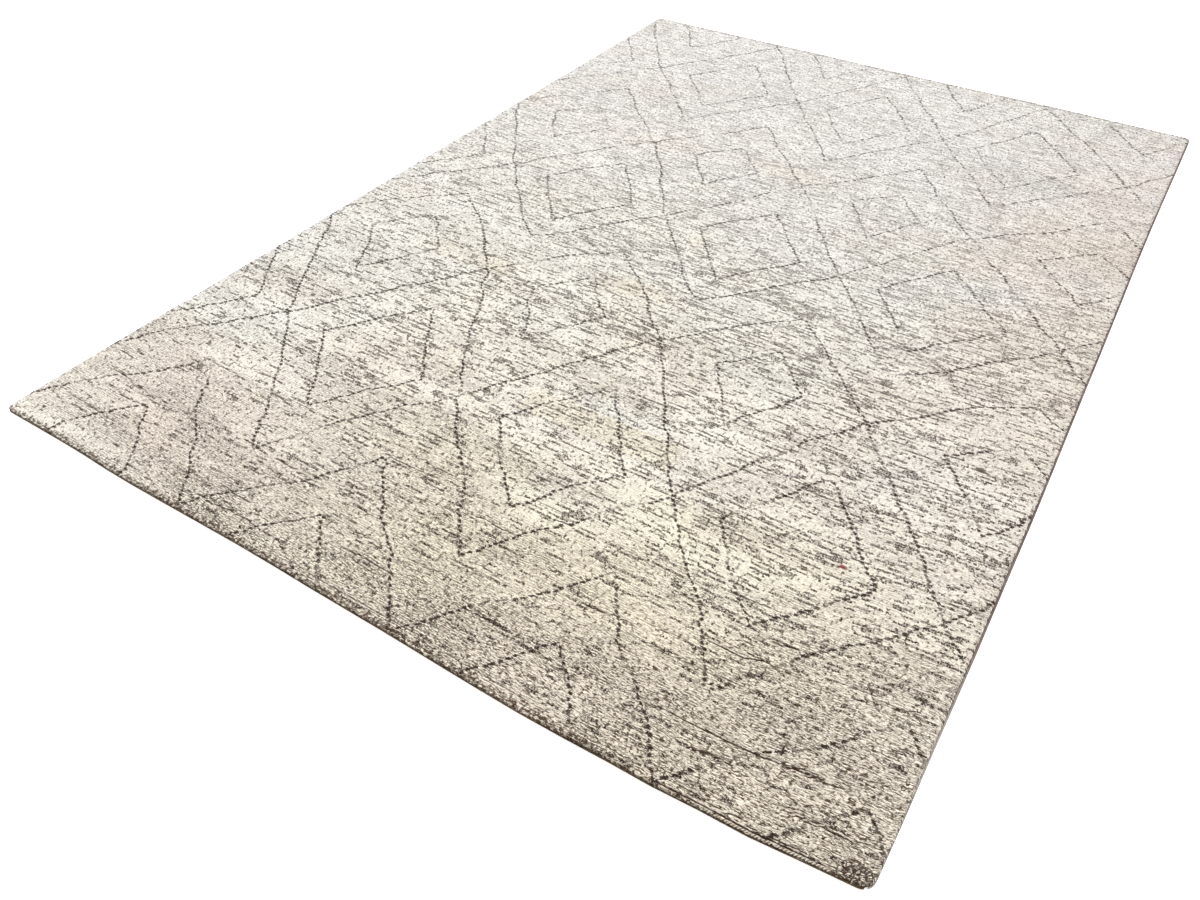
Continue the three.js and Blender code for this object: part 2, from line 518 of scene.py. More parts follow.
def pile_relief(rng, ruffle, depth):
    """Height of the pile's surface over its mean, at each grid point."""
    shape = depth.shape
    even_row = np.arange(shape[0])[:, None] % 2 == 0
    # each of these is in millimetres
    lie = 0.22 * smooth_field(rng, shape, (30, 18))
    ridge_size = 0.3 + 0.15 * smooth_field(rng, shape, (14, 12))
    ridges = np.where(even_row, 1, -1) * ridge_size.clip(0.05, 0.7) * ruffle
    tufts = 0.28 * smooth_field(rng, shape, (0.7, 1.3)) * ruffle
    grain = 0.18 * rng.standard_normal(shape) * ruffle
    pebbles = 1.1 * rng.choice([-1, 1], shape) * pebbled_corner()
    height = lie + ridges + tufts + grain + pebbles - 2.4 * depth
    return np.minimum(height, 1.6) * MM


def lattice_place(x, y):
    """Column number and phase of the lattice at a place in plan, both continuous."""
    across = x - RUG_LOW[0]
    along = y - RUG_LOW[1]
    far_share = along / RUG_LENGTH
    near_ends, far_ends = zip(*COLUMNS)
    near_column = np.interp(across, near_ends, np.arange(len(COLUMNS)))
    far_column = np.interp(across, far_ends, np.arange(len(COLUMNS)))
    column = near_column + (far_column - near_column) * far_share
    skew = LATTICE_SKEW * np.sin(math.pi * far_share.clip(0, 1)) ** 1.5 * (1 - 0.45 * far_share)
    lift = ease(1 - across / 0.62) * ease(1 - (along - 0.25) / 0.7)
    skewed = along + skew * x - LEFT_CORNER_LIFT * lift
    return column, np.interp(skewed, *zip(*LATTICE_ROWS))


def add_object(name, data, place=(0, 0, 0), turn=(0, 0, 0)):
    """Adds an object to the scene at a place, turned by angles in degrees."""
    thing = bpy.data.objects.new(name, data)
    thing.location = place
    thing.rotation_euler = [math.radians(angle) for angle in turn]
    bpy.context.scene.collection.objects.link(thing)
    return thing


def add_piece(name, points, faces, details):
    """Adds a smooth mesh to the scene, with its details: a number a point under each name."""
    mesh = bpy.data.meshes.new(name)
    mesh.from_pydata(points.tolist(), [], faces)
    for detail, values in details.items():
        layer = mesh.attributes.new(detail, "FLOAT", "POINT")
        layer.data.foreach_set("value", values.astype(np.float32))
    mesh.shade_smooth()
    mesh.update()
    return add_object(name, mesh)


class Solid:
    """Collects grid patches of points into one mesh and joins them where they meet."""

    def __init__(self):
        self.points = []
        self.faces = []
        self.count = 0

    def patch(self, points):
        """Adds a grid of points whose faces look along its second axis turned to its first:
        up, for columns along x and rows along y. A point's details follow its x, y and z."""
        rows, columns = points.shape[:2]
        index = self.count + np.arange(rows * columns).reshape(rows, columns)
        corners = (index[:-1, :-1], index[:-1, 1:], index[1:, 1:], index[1:, :-1])
        self.faces.append(np.stack(corners, axis=-1).reshape(-1, 4))
        self.points.append(points.reshape(rows * columns, -1))
        self.count += rows * columns

    def build(self, name):
        """Adds the mesh to the scene, with its points joined where they are the same."""
        points = np.concatenate(self.points)
        keys = np.round(points[:, :3] / (0.01 * MM)).astype(np.int64)
        first, merged = np.unique(keys, axis=0, return_index=True, return_inverse=True)[1:]
        faces = merged.ravel()[np.concatenate(self.faces)].tolist()
        details = dict(zip(PILE_DETAILS, points[first, 3:].T))
        return add_piece(name, points[first, :3], faces, details)


# What each point of the pile carries for its material. across is in metres and row counts
# the rows of knots, both along the cloth.
PILE_DETAILS = ("across", "row", "column", "phase", "groove", "edge",
                "tone", "warm", "pink", "heather", "wear", "ruffle", "fleck")


def finer_line(values, finer):
    """Puts finer steps between each two rows of values."""
    places = np.arange(finer * (len(values) - 1) + 1) / finer
    before = np.minimum(places.astype(int), len(values) - 2)
    share = (places - before)[:, None]
    return values[before] * (1 - share) + values[before + 1] * share


def skirt(side, line, rng):
    """Rows of points from the edge of the top surface down to the foundation. The wool's
    own coordinates run on over the edge, away from the middle of the rug."""
    finer = NEAR_FINER if side == "near" else 1
    line = finer_line(line, finer)
    rings = [line[:, :3]]
    for inset, height in SKIRT[1:]:
        points = pile_side(side, inset, finer)[0]
        rings.append(np.column_stack([points, np.full(len(line), height)]))
    rings = finer_line(np.array(rings).reshape(len(rings), -1), 1 + finer // 2)
    rings = rings.reshape(len(rings), -1, 3)

    share = np.linspace(0, 1, len(rings))
    loose = np.sin(math.pi * share) ** 0.7
    normals = pile_side(side, SKIRT[1][0], finer)[1]
    push = smooth_field(rng, (len(rings), len(line)), (0.6, 1.1)) * loose[:, None] * LOOSE_WOOL
    push = np.minimum(push, LOOSEST) * (1.0 if side == "near" else OTHER_SIDES_LOOSE)
    rings[..., :2] += push[..., None] * normals[None]

    run = run_along(np.linalg.norm(np.diff(rings, axis=0), axis=-1).mean(axis=1))
    carried = np.repeat(line[None, :, 3:], len(rings), axis=0)
    browned = 1.0
    if side in ("near", "far"):
        carried[..., 1] += (-1 if side == "near" else 1) * run[:, None] / ROW_PITCH
    else:
        carried[..., 0] += (-1 if side == "left" else 1) * run[:, None]
        browned = LONG_SIDES_BROWN
    # the edge's brown, partly painted shade, grows from the top ring down to the foundation
    carried[..., PILE_DETAILS.index("edge")] = browned * share[:, None]
    carried[..., PILE_DETAILS.index("groove")] = 0
    return np.concatenate([rings, carried], axis=-1)


def pile_top(rng):
    """The grid of the pile's top surface: the place and the details of each point."""
    plan = pile_plan(rng)
    fields = cloth_fields(rng)
    groove = grooves(rng, plan.shape[:2])
    height = SKIRT[0][1] + pile_relief(rng, fields["ruffle"], groove)
    across = cloth_coordinates()[0]
    row = np.repeat(np.arange(GRID_ALONG + 1)[:, None] / 2, GRID_ACROSS + 1, axis=1)
    lattice = lattice_place(plan[..., 0], plan[..., 1])

    # the edge's brown, partly painted shade, reaches onto the end rows of the top
    edge = np.zeros(groove.shape)
    brown = 1 - ease((across[0] - NEAR_BROWN_UNTIL) / NEAR_BROWN_FADE)
    edge[:len(NEAR_BROWN)] = np.outer(NEAR_BROWN, brown)
    edge[-len(FAR_BROWN):] = np.array(FAR_BROWN)[:, None]
    smooth = [fields[name] for name in PILE_DETAILS[6:]]
    details = np.stack([across, row, *lattice, groove, edge, *smooth], axis=-1)
    return np.concatenate([plan, height[:, :, None], details], axis=-1)


def pile_strips():
    """The pile in lengthwise strips, which meet point to point, and the details of its grid."""
    rng = np.random.default_rng(SEED)
    top = pile_top(rng)
    near = skirt("near", top[0], rng)[::-1]
    right = skirt("right", top[:, -1], rng).transpose(1, 0, 2)
    far = skirt("far", top[-1], rng)
    left = skirt("left", top[:, 0], rng)[::-1].transpose(1, 0, 2)

    strips = []
    wide = GRID_ACROSS // STRIPS
    for number in range(STRIPS):
        part = slice(number * wide, (number + 1) * wide + 1)
        near_part = slice(NEAR_FINER * part.start, NEAR_FINER * (part.stop - 1) + 1)
        patches = [top[:, part], near[:, near_part], far[:, part]]
        if number == 0:
            patches.append(left)
        if number == STRIPS - 1:
            patches.append(right)
        solid = Solid()
        for patch in patches:
            solid.patch(patch)
        strips.append(solid.build(f"pile_strip_{number + 1}"))
    return strips, top[:, :, 3:]


def kept_lines(cells):
    """Which of the grid's lines the foundation has: each one near its edges, few between."""
    edge = np.arange(BACK_STEP)
    middle = np.arange(BACK_STEP, cells - BACK_STEP + 1, BACK_STEP)
    return np.concatenate([edge, middle, cells - edge[::-1]])


def foundation(details):
    """The woven foundation under the pile, whose back lies on the floor and shows the same
    knots as the pile."""
    lines = np.ix_(kept_lines(GRID_ALONG), kept_lines(GRID_ACROSS))
    plan = cloth_plan(SKIRT[-1][0])[lines]
    levels = []
    for height in (0.0, FOUNDATION_TOP):
        flat = np.full((*plan.shape[:2], 1), height)
        levels.append(np.concatenate([plan, flat, details[lines]], axis=-1))
    low, high = levels
    solid = Solid()
    solid.patch(low[:, ::-1])
    solid.patch(high)
    for edge in (np.s_[0, :], np.s_[:, -1], np.s_[-1, ::-1], np.s_[::-1, 0]):
        solid.patch(np.stack([low[edge], high[edge]]))
    return solid.build("rug_foundation")


def wound_cord(name, line, normals, turn, size, middle, cut, rng):
    """A cord of oval section along a line of points, with yarn wound round it. turn is the
    number of the turn at each point, size the cord's width and height, middle the height of
    its axis and cut the depth between two turns as a share of the half width."""
    rings = len(line)
    width, height = size
    ridge = -cut * width * np.abs(turn - np.round(turn))
    ridge = ridge - 0.035 * width / 2 * np.abs(rng.standard_normal(rings))
    angles = 2 * math.pi * np.arange(CORD_SIDES) / CORD_SIDES
    reach_in = (width / 2 + ridge)[:, None] * np.cos(angles)[None, :]
    rise = (height / 2 + ridge)[:, None] * np.sin(angles)[None, :]
    slant = 0.5 * width * np.cos(angles)[None, :, None]
    forward = np.stack([-normals[:, 1], normals[:, 0]], axis=1)[:, None]
    points = np.empty((rings, CORD_SIDES, 3))
    points[:, :, :2] = line[:, None] - normals[:, None] * reach_in[:, :, None] + forward * slant
    points[:, :, 2] = (np.broadcast_to(middle, rings)[:, None] + rise).clip(0, None)
    index = np.arange(rings * CORD_SIDES).reshape(rings, CORD_SIDES)
    beside = np.roll(index, -1, axis=1)
    quads = np.stack([index[:-1], beside[:-1], beside[1:], index[1:]], axis=-1)
    faces = quads.transpose(1, 0, 2).reshape(-1, 4).tolist()
    faces += [index[0, ::-1].tolist(), index[-1].tolist()]
    return add_piece(name, points.reshape(-1, 3), faces, {"turn": np.repeat(turn, CORD_SIDES)})


def edge_cord(name, side, rng):
    """The wound cord that closes one side of the rug, with its underside on the floor. It
    stops short of the next cords."""
    length = RUG_WIDTH if side in ("near", "far") else RUG_LENGTH
    count = TURN_RINGS * round(length / TURN_PITCH) + 1
    line, normals = side_points(*SIDE_CORNERS[side], count, CORD_WIDTH / 2)
    line, normals = line[2:-2], normals[2:-2]
    turn = np.arange(len(line)) / TURN_RINGS
    size = (CORD_WIDTH, 2 * (CORD_HEIGHT - CORD_MIDDLE))
    return wound_cord(name, line, normals, turn, size, CORD_MIDDLE, CORD_CUT, rng)


def whipping_cord(rng):
    """The pale twisted cord that comes out of the pile along the right of the near edge."""
    count = WHIPPING_RINGS * round(RUG_WIDTH / WHIPPING_PITCH) + 1
    line, normals = side_points(*SIDE_CORNERS["near"], count, 0)
    across = line[:, 0] - RUG_LOW[0]
    kept = (across > WHIPPING_FROM) & (across < WHIPPING_TO)
    across, line, normals = across[kept], line[kept], normals[kept]
    line = line - normals * WHIPPING_INSET
    sunk = ease((WHIPPING_FROM + 0.12 - across) / 0.12) + ease((across - WHIPPING_TO + 0.02) / 0.02)
    middle = WHIPPING_HEIGHT - WHIPPING_SINKS * sunk
    turn = np.arange(len(line)) / WHIPPING_RINGS
    size = (WHIPPING_WIDTH, WHIPPING_WIDTH)
    return wound_cord("near_end_whipping", line, normals, turn, size, middle, WHIPPING_CUT, rng)


# Materials


def linear(red, green, blue):
    """A colour given as 0 to 255 display values, as the linear one a shader takes."""
    values = []
    for part in (red, green, blue):
        share = part / 255
        low = share <= 0.04045
        values.append(share / 12.92 if low else ((share + 0.055) / 1.055) ** 2.4)
    return (*values, 1.0)


# The value at the right end of a curve node
CURVE_SPAN = 1.2


class Shader:
    """Builds one material's node graph."""

    def __init__(self, name):
        self.material = bpy.data.materials.new(name)
        self.material.use_nodes = True
        self.nodes = self.material.node_tree.nodes
        self.links = self.material.node_tree.links
        self.surface = self.nodes["Principled BSDF"]

    def put(self, socket, value):
        """Links a socket's value to another's, or sets it. None leaves it as it is."""
        if isinstance(value, bpy.types.NodeSocket):
            self.links.new(value, socket)
        elif value is not None:
            socket.default_value = value

    def add(self, kind, *values):
        """Adds a node, with these values in its first sockets."""
        node = self.nodes.new("ShaderNode" + kind)
        for socket, value in zip(node.inputs, values):
            self.put(socket, value)
        return node

    def attribute(self, name):
        node = self.add("Attribute")
        node.attribute_name = name
        return node.outputs["Fac"]

    def vector(self, x, y, z=0.0):
        return self.add("CombineXYZ", x, y, z).outputs[0]

    def noise(self, x, y, detail=1.0, roughness=0.5):
        """Soft noise around 0.5 whose bumps are about one unit of x and y wide."""
        node = self.add("TexNoise", self.vector(x, y), None, 1.0, detail, roughness)
        node.noise_dimensions = "2D"
        return node.outputs["Fac"]

    def from_border(self, x, y):
        """How far a place is from the border of its pebble, in pebbles one unit wide."""
        node = self.add("TexVoronoi", self.vector(x, y), None, 1.0)
        node.voronoi_dimensions = "2D"
        node.feature = "DISTANCE_TO_EDGE"
        return node.outputs["Distance"]

    def random(self, x, y, z):
        """A number from 0 to 1, the same each time at one place."""
        node = self.add("TexWhiteNoise", self.vector(x, y, z))
        node.noise_dimensions = "3D"
        return node.outputs["Value"]

    def ramp(self, value, low, high, to_low=0.0, to_high=1.0):
        """Maps low..high to to_low..to_high along an eased curve."""
        node = self.add("MapRange", value, low, high, to_low, to_high)
        node.interpolation_type = "SMOOTHSTEP"
        return node.outputs[0]

    def math(self, operation, *values):
        node = self.add("Math", *values)
        node.operation = operation
        return node.outputs[0]

    def times(self, value, *factors):
        for factor in factors:
            value = self.math("MULTIPLY", value, factor)
        return value

    def plus(self, value, factor, start):
        """start + value * factor"""
        return self.math("MULTIPLY_ADD", value, factor, start)

    def off_centre(self, value):
        return self.math("SUBTRACT", value, 0.5)

    def cell(self, value):
        """The whole number under a value, and how far the value is from that cell's middle."""
        from_middle = self.math("ABSOLUTE", self.off_centre(self.math("FRACT", value)))
        return self.math("FLOOR", value), from_middle

    def mix(self, share, first, second):
        node = self.add("Mix", share)
        node.data_type = "RGBA"
        self.put(node.inputs[6], first)
        self.put(node.inputs[7], second)
        return node.outputs[2]

    def scale(self, colour, factor):
        node = self.add("VectorMath", colour, None, None, factor)
        node.operation = "SCALE"
        return node.outputs[0]

    def polyline(self, value, points):
        """The height of a line of straight stretches through points, at value."""
        node = self.add("FloatCurve", None, self.math("DIVIDE", value, CURVE_SPAN))
        curve = node.mapping.curves[0]
        stops = [(0.0, points[0][1])] if points[0][0] > 0 else []
        stops += [(x / CURVE_SPAN, y) for x, y in points]
        stops += [(1.0, points[-1][1])]
        while len(curve.points) < len(stops):
            curve.points.new(0.5, 0.5)
        for point, (x, y) in zip(curve.points, stops):
            point.location = (x, y)
            point.handle_type = "VECTOR"
        node.mapping.update()
        return node.outputs[0]

    def bump(self, height, strength, distance):
        node = self.add("Bump", strength, distance, None, height)
        self.put(self.surface.inputs["Normal"], node.outputs[0])

    def finish(self, colour, roughness, specular):
        """Sets the surface and gives the material."""
        self.put(self.surface.inputs["Base Color"], colour)
        self.surface.inputs["Roughness"].default_value = roughness
        self.surface.inputs["Specular IOR Level"].default_value = specular
        return self.material


# The dark knots that draw the lattice

MODULE_LENGTH = RUG_LENGTH / 3.08
KNOT_HALF_WIDTHS = (3.9 * MM, 5.2 * MM)
KNOT_LEAN = 0.3
KNOT_ROUNDNESS = 1.7


def line_distance(s, beside, phase, points):
    """How far a place is from one line of the lattice, in metres across the rug."""
    line = s.polyline(phase, points)
    across = s.math("ABSOLUTE", s.math("SUBTRACT", beside, line))
    before = s.math("LESS_THAN", phase, points[0][0])
    after = s.math("GREATER_THAN", phase, points[-1][0])
    return s.plus(across, HALF_PITCH, s.math("ADD", before, after))


def nearest_line(s, column, phase):
    """The same for the nearest of the lattice's lines."""
    beside = s.math("PINGPONG", column, 1.0)
    nearest = line_distance(s, beside, phase, ZIGZAG)
    for shift, points in ((1.0, ZIGZAG), (0.0, LOW_DIAMOND), (0.0, HIGH_DIAMOND)):
        other = line_distance(s, beside, s.math("ADD", phase, shift), points)
        nearest = s.math("MINIMUM", nearest, other)
    return nearest


def dark_knots(s, row, ragged):
    """1 on the dark knots that draw the diamonds, less on the faint ones and 0 between them.
    Each is about two rows tall and leans along its line. ragged wears its outline."""
    column = s.attribute("column")
    column_number = s.math("FLOOR", column)
    pair = s.math("FLOOR", s.times(s.math("ADD", row, 0.5), 0.5))
    drift = s.off_centre(s.random(pair, column_number, 0.5))
    size = s.random(pair, column_number, 3.5)
    strength = s.random(pair, column_number, 7.5)

    off_rows = s.math("SUBTRACT", row, s.plus(pair, 2.0, 0.5))
    leaned = s.times(off_rows, KNOT_LEAN * ROW_PITCH / MODULE_LENGTH)
    phase = s.math("FRACT", s.math("SUBTRACT", s.attribute("phase"), leaned))
    column = s.plus(drift, 0.02, column)
    sway = s.noise(s.times(row, 0.05), s.times(column_number, 3.3), 2.0)
    column = s.plus(s.off_centre(sway), 0.14, column)
    nearest = nearest_line(s, column, phase)

    far = s.ramp(row, 150.0, 420.0)
    half_width = s.times(s.ramp(size, 0.0, 1.0, *KNOT_HALF_WIDTHS), s.plus(far, 0.06, 1.0))
    wide = s.math("DIVIDE", nearest, half_width)
    tall = s.math("ABSOLUTE", s.plus(off_rows, s.plus(far, 0.10, 1.16), s.times(drift, 0.4)))
    wide, tall = [s.math("POWER", part, KNOT_ROUNDNESS) for part in (wide, tall)]
    distance = s.math("POWER", s.math("ADD", wide, tall), 1 / KNOT_ROUNDNESS)
    distance = s.plus(ragged, s.plus(far, -1.0, 2.3), distance)
    dot = s.ramp(distance, 0.86, 1.10, 1.0, 0.0)
    kept = s.ramp(s.attribute("wear"), -2.2, s.plus(far, 0.3, -0.4), 0.45, 1.0)
    faint = s.plus(far, -0.42, 0.75)
    strength = s.ramp(strength, s.times(far, 0.25), s.plus(far, 0.3, 0.25), faint, 1.0)
    return s.times(dot, kept, strength)


# The pile's wool

CREAM = linear(240, 237, 228)
BEIGE = linear(237, 228, 207)
PINKISH = linear(237, 226, 213)
COOL = linear(240, 238, 235)
HEATHER = linear(38, 25, 18)
GREY_WOOL = linear(172, 152, 134)
DARK_KNOT = linear(40, 25, 20)
# painted shade, for the gaps between rows, strands, pebbles and knots and for the cracks
PAINTED_GAP_SHADE = linear(60, 33, 18)
SHADED_WOOL = linear(160, 129, 99)
# the tufts' brown feet, darkened further as painted shade
EDGE_BROWN_AND_SHADE = linear(88, 66, 46)
MAUVE_GREY = linear(160, 148, 142)
OLIVE_DARK = linear(84, 74, 50)
RED_WOOL = linear(132, 40, 36)


class PileShader(Shader):
    """The pile's node graph, with what the parts of its material share: the row that a place
    lies in, noises, and the gaps in the wool, where shade is painted. Rows count from the near
    end, 528 in all."""

    def __init__(self, name):
        super().__init__(name)
        self.across = self.attribute("across")
        self.row = self.attribute("row")
        self.along = self.times(self.row, ROW_PITCH)
        self.pebbled = self.ramp(self.attribute("ruffle"), 1.25, 1.8)
        self.ruffle = self.math("MINIMUM", self.attribute("ruffle"), 1.1)
        self.sway = self.bumps(75.0, 75.0)
        self.quiver = self.bumps(190.0, 230.0)
        self.fibre = self.bumps(230.0, 470.0, 2.0, 0.65)
        self.streak = self.bumps(110.0, 520.0, 2.0, 0.6)

        bend = self.ramp(self.ruffle, 0.25, 1.0, 0.45, 1.0)
        wander = self.plus(self.quiver, 0.9, self.times(self.sway, 1.1))
        bent_row = self.plus(wander, bend, self.row)
        self.row_number = self.math("ROUND", bent_row)
        self.in_row = self.math("SUBTRACT", bent_row, self.row_number)
        self.from_row = self.math("ABSOLUTE", self.in_row)

        self.row_gap = self.gap_between_rows()
        self.strand = self.strands()
        self.border = self.pebble_border()
        between = self.times(self.ramp(self.border, 0.24, 0.10), self.pebbled)
        gap = self.math("MAXIMUM", self.row_gap, self.crevice())
        self.gap = self.math("MAXIMUM", gap, between)

    def bumps(self, across, along, detail=1.0, roughness=0.5):
        """Noise around 0 with so many bumps a metre across and along the rug."""
        places = (self.times(self.across, across), self.times(self.along, along))
        return self.off_centre(self.noise(*places, detail, roughness))

    def place_in_row(self, pitch, seed, quiver, lean):
        """Counts the yarn ends of a row, pitch apart. Each row begins elsewhere, by seed."""
        start = self.times(self.random(self.row_number, seed, 0.0), 7.0)
        place = self.plus(self.across, 1 / pitch, start)
        return self.plus(self.quiver, quiver, self.plus(self.in_row, lean, place))

    def gap_between_rows(self):
        gape = self.noise(self.times(self.across, 11.0), self.times(self.row_number, 1.61), 2.0)
        least = self.ramp(self.row, 80.0, 300.0, 0.42, 0.24)
        strength = self.plus(self.ruffle, 0.55, least)
        gape = self.times(self.ramp(gape, 0.46, 0.60, 0.03, 1.0), strength)
        return self.times(self.ramp(self.plus(gape, 0.04, self.from_row), 0.33, 0.45), gape)

    def strands(self):
        """Noise around 0 whose bumps are long strands of wool, swirled this way and that."""
        swirl = self.bumps(32.0, 40.0)
        across = self.plus(self.sway, 1.2, self.times(self.across, 1 / STRAND_LENGTH))
        along = self.plus(self.quiver, 0.3, self.times(self.along, 1 / STRAND_WIDTH))
        return self.off_centre(self.noise(across, self.plus(swirl, 3.4, along), 2.0, 0.6))

    def crevice(self):
        """The deep places between strands."""
        torn = self.plus(self.fibre, 0.25, self.strand)
        open_wool = self.ramp(self.ruffle, 0.15, 0.9, 0.15, 1.0)
        return self.times(self.ramp(torn, -0.08, -0.125), open_wool)

    def pebble_border(self):
        across = self.plus(self.sway, 0.8, self.times(self.across, 1 / PEBBLE_SIZE))
        along = self.plus(self.quiver, 0.8, self.times(self.along, 1 / PEBBLE_SIZE))
        return self.from_border(across, along)


def pale_wool(s):
    """The ground: its lots and tints, its strands with painted light and shade, and the grey yarn
    drawn along the rows.
    """
    warm = s.attribute("warm")
    colour = s.mix(s.ramp(warm, 0.0, 1.2), CREAM, BEIGE)
    colour = s.mix(s.ramp(warm, 0.0, -1.2), colour, COOL)
    colour = s.mix(s.attribute("pink"), colour, PINKISH)

    end_number = s.math("FLOOR", s.place_in_row(YARN_END_WIDTH, 2.5, 1.4, 0.8))
    end_tone = s.off_centre(s.random(end_number, s.row_number, 6.5))
    bright = s.plus(s.attribute("tone"), 0.045, s.ramp(s.row, 80.0, 430.0, 1.135, 1.053))
    # painted highlight: the tufts of the pebbled corner are lighter
    bright = s.plus(s.pebbled, 0.14, s.plus(s.ruffle, 0.06, bright))
    # painted light and shade: each strand lighter on its crown, darker down its flanks
    bright = s.plus(s.strand, s.plus(s.ruffle, 1.2, 0.3), bright)
    bright = s.plus(s.streak, 0.6, s.plus(end_tone, 0.10, bright))
    bright = s.plus(s.fibre, s.plus(s.ruffle, 1.6, 0.7), bright)
    colour = s.scale(colour, bright)

    shade = s.times(s.ramp(s.strand, 0.03, -0.11), s.ruffle, 0.50)
    colour = s.mix(shade, colour, SHADED_WOOL)
    drawn = s.noise(s.times(s.across, 17.0), s.times(s.row_number, 0.91))
    drawn = s.times(s.ramp(drawn, 0.60, 0.68), s.ramp(s.row, 60.0, 400.0, 0.10, 0.46))
    return s.mix(drawn, colour, MAUVE_GREY)


def add_heather(s, colour):
    """Grey and dark yarn ends strung along the rows."""
    string = s.noise(s.times(s.across, 19.0), s.plus(s.row_number, 1.3, 40.0))
    string = s.plus(s.attribute("heather"), s.ramp(s.row, 150.0, 400.0, 0.05, 0.02), string)
    share = s.ramp(string, 0.525, 0.61, 0.008, 0.96)
    number, from_tick = s.cell(s.place_in_row(TICK_PITCH, 9.5, 1.0, 0.6))
    chosen = s.math("LESS_THAN", s.random(number, s.row_number, 2.5), share)
    inside = s.ramp(s.plus(s.fibre, 1.0, s.from_row), 0.46, 0.33)
    tick = s.times(s.ramp(s.plus(s.fibre, 1.0, from_tick), 0.50, 0.38), inside)
    depth = s.ramp(s.random(number, s.row_number, 4.5), 0.0, 0.6, 0.45, 1.0)
    dark = s.times(chosen, tick, depth, s.ramp(s.row, 150.0, 430.0, 1.0, 0.38))
    soft = s.times(s.ramp(string, 0.49, 0.60), inside, s.ramp(s.row, 180.0, 480.0, 0.14, 0.06))
    colour = s.mix(soft, colour, GREY_WOOL)
    return s.mix(s.times(dark, 0.95), colour, HEATHER)


def add_edge_brown_and_shade(s, colour):
    """The brown round the rug's edge: partly the tufts' own dark feet, partly painted shade, most
    at the foot of the pile's sides.
    """
    hanging = s.off_centre(s.noise(s.times(s.across, 140.0), s.times(s.row, 0.6), 1.5))
    edge = s.plus(s.fibre, 0.5, s.plus(hanging, 1.2, s.attribute("edge")))
    lit = s.ramp(s.plus(s.streak, 1.0, s.fibre), 0.04, 0.16, 1.0, 0.45)
    return s.mix(s.times(s.ramp(edge, 0.10, 0.28, 0.0, 0.95), lit), colour, EDGE_BROWN_AND_SHADE)


def add_stray_ends(s, colour):
    for sign, wool in ((1.0, OLIVE_DARK), (-1.0, RED_WOOL)):
        fleck = s.plus(s.fibre, 1.2, s.times(s.attribute("fleck"), sign))
        colour = s.mix(s.ramp(fleck, 0.45, 0.65, 0.0, 0.9), colour, wool)
    return colour


def pile_material():
    s = PileShader("pile_wool")
    colour = add_heather(s, pale_wool(s))
    colour = s.mix(s.times(dark_knots(s, s.row, s.fibre), 0.95), colour, DARK_KNOT)
    # painted shade in the gaps between rows, between strands and between the corner's pebbles
    colour = s.mix(s.times(s.gap, 0.92), colour, PAINTED_GAP_SHADE)
    # painted shade in the cracks between rows
    groove = s.ramp(s.plus(s.fibre, 0.3, s.attribute("groove")), 0.10, 0.42)
    colour = s.mix(s.times(groove, 0.95), colour, PAINTED_GAP_SHADE)
    colour = add_stray_ends(s, add_edge_brown_and_shade(s, colour))

    swell = s.plus(s.times(s.strand, s.ruffle), 6.0, s.times(s.fibre, 1.1))
    swell = s.plus(s.ramp(s.border, 0.0, 0.4), s.times(s.pebbled, 2.0), swell)
    s.bump(s.math("SUBTRACT", swell, s.row_gap), strength=0.8, distance=1.6 * MM)
    s.surface.inputs["Sheen Weight"].default_value = 0.06
    s.surface.inputs["Sheen Roughness"].default_value = 0.5
    return s.finish(colour, roughness=0.92, specular=0.12)


def back_material():
    """The flat knots of the rug's back, in rows, with the pattern crisp and no pile."""
    s = Shader("foundation_wool")
    across = s.attribute("across")
    row = s.attribute("row")
    fibre = s.off_centre(s.noise(s.times(across, 500.0), s.times(row, 2.6), 2.0, 0.65))
    row_number = s.math("ROUND", row)
    from_row = s.math("ABSOLUTE", s.math("SUBTRACT", row, row_number))
    knot_number, from_knot = s.cell(s.times(across, 1 / YARN_END_WIDTH))
    from_middle = s.math("MAXIMUM", from_row, from_knot)

    tone = s.random(knot_number, row_number, 1.5)
    colour = s.mix(s.ramp(s.attribute("warm"), -1.0, 1.2), CREAM, BEIGE)
    colour = s.scale(colour, s.plus(tone, 0.14, s.plus(fibre, 0.5, 0.80)))
    share = s.ramp(s.attribute("heather"), -1.5, 2.0, 0.02, 0.30)
    dark = s.math("LESS_THAN", s.random(knot_number, row_number, 4.5), share)
    colour = s.mix(s.times(dark, 0.8), colour, HEATHER)
    colour = s.mix(s.times(dark_knots(s, row, fibre), 0.9), colour, DARK_KNOT)
    # painted shade in the dips between the back's knots
    colour = s.mix(s.ramp(from_middle, 0.36, 0.50, 0.0, 0.5), colour, PAINTED_GAP_SHADE)
    s.bump(s.ramp(from_middle, 0.5, 0.2), strength=0.6, distance=0.8 * MM)
    return s.finish(colour, roughness=0.9, specular=0.12)


# The cords' wool: each pair is the two colours that a cord drifts between
END_WOOL = (linear(138, 116, 90), linear(78, 60, 44))
SIDE_WOOL = (linear(172, 152, 144), linear(130, 109, 104))
SIDE_WOOL_START = linear(228, 220, 210)
WHIPPING_WOOL = (linear(252, 244, 228), linear(232, 214, 186))


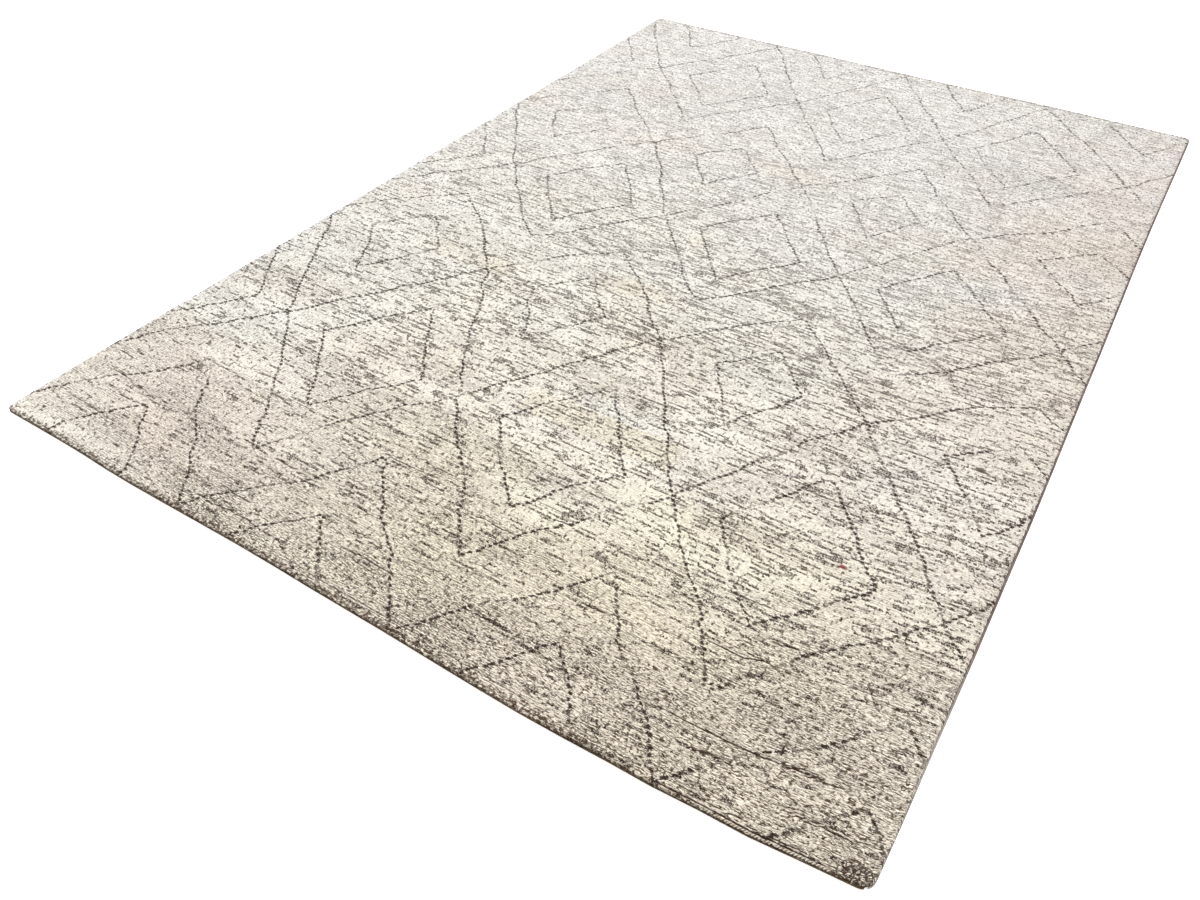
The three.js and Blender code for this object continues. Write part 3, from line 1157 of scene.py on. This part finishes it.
def cord_material(name, light, dark, cut=1.1, start=None, start_turns=1.0):
    """Wound yarn that drifts between two colours, turn by turn, and darkens by cut from a turn's
    middle to its edge, as painted shade between the turns. start is the colour at the cord's
    first end, which it leaves after start_turns."""
    s = Shader(name)
    turn = s.attribute("turn")
    tone = s.random(s.math("FLOOR", turn), 0.5, 0.5)
    drift = s.noise(s.times(turn, 0.02), 0.5, 2.0)
    share = s.plus(tone, 0.5, s.ramp(drift, 0.4, 0.6, 0.0, 0.5))
    colour = s.mix(share, light, dark)
    if start:
        share = s.plus(tone, 0.3, s.ramp(turn, 0.4 * start_turns, start_turns))
        colour = s.mix(s.math("MINIMUM", share, 1.0), start, colour)
    # painted shade between the turns
    groove = s.math("SUBTRACT", 1.0, s.times(s.math("PINGPONG", turn, 0.5), cut))
    return s.finish(s.scale(colour, groove), roughness=0.85, specular=0.15)


# The scene: the camera is solved from the four edges of the rug in the photo
FLOOR_HALF = 30.0
FLOOR_HEIGHT = -0.4 * MM
CAMERA_PLACE = (0.963, -2.128, 1.409)
CAMERA_TURN = (46.97, -0.52, 32.27)
LENS_MM = 29.04
SENSOR_MM = 36.0


def floor():
    """A white floor, bright enough of its own to show no shadow."""
    signs = ((-1, -1), (1, -1), (1, 1), (-1, 1))
    corners = np.array([(FLOOR_HALF * x, FLOOR_HALF * y, FLOOR_HEIGHT) for x, y in signs])
    piece = add_piece("floor", corners, [[0, 1, 2, 3]], {})
    s = Shader("floor_white")
    s.surface.inputs["Emission Color"].default_value = (1, 1, 1, 1)
    s.surface.inputs["Emission Strength"].default_value = 0.7
    piece.data.materials.append(s.finish((0.93, 0.93, 0.93, 1), roughness=0.8, specular=0.5))


def lights():
    """A white room, soft daylight from the far left and a window beyond the far end."""
    world = bpy.data.worlds.new("studio")
    world.use_nodes = True
    background = world.node_tree.nodes["Background"]
    background.inputs["Color"].default_value = (1, 1, 1, 1)
    background.inputs["Strength"].default_value = 0.62
    bpy.context.scene.world = world

    daylight = bpy.data.lights.new("daylight", "SUN")
    daylight.energy = 2.2
    daylight.angle = math.radians(20)
    add_object("daylight", daylight, turn=(-42, 0, 20))

    window = bpy.data.lights.new("window", "AREA")
    window.shape = "RECTANGLE"
    window.size, window.size_y = 3.2, 2.0
    window.energy = 45
    add_object("window", window, place=(-0.6, 4.4, 2.0), turn=(-62, 0, 8))


def camera():
    lens = bpy.data.cameras.new("camera")
    lens.sensor_width = SENSOR_MM
    lens.lens = LENS_MM
    bpy.context.scene.camera = add_object("camera", lens, CAMERA_PLACE, CAMERA_TURN)


def dress(piece, material, node):
    """Gives a piece its material and its place in the frame."""
    piece.data.materials.append(material)
    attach(piece, "root")
    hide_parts(node)


def main():
    pile = pile_material()
    strips, details = pile_strips()
    for strip in strips:
        dress(strip, pile, "rug_field")
    base = foundation(details)
    dress(base, back_material(), "rug_field")

    rng = np.random.default_rng(SEED + 1)
    end_wool = cord_material("end_binding_wool", *END_WOOL)
    side_wool = cord_material("selvedge_wool", *SIDE_WOOL, start=SIDE_WOOL_START, start_turns=240.0)
    whipping_wool = cord_material("whipping_wool", *WHIPPING_WOOL, cut=1.8)
    for node, side, wool, slot in (
        ("near_end_binding", "near", end_wool, "end_binding_wool"),
        ("right_selvedge", "right", side_wool, "selvedge_wool"),
        ("far_end_binding", "far", end_wool, "end_binding_wool"),
        ("left_selvedge", "left", side_wool, "selvedge_wool"),
    ):
        cord = edge_cord(node + "_wound", side, rng)
        dress(cord, wool, node)
    whipping = whipping_cord(rng)
    dress(whipping, whipping_wool, "near_end_binding")

    floor()
    lights()
    camera()
    bpy.context.scene.view_settings.view_transform = "Standard"
    bpy.context.scene.view_settings.look = "None"


main()
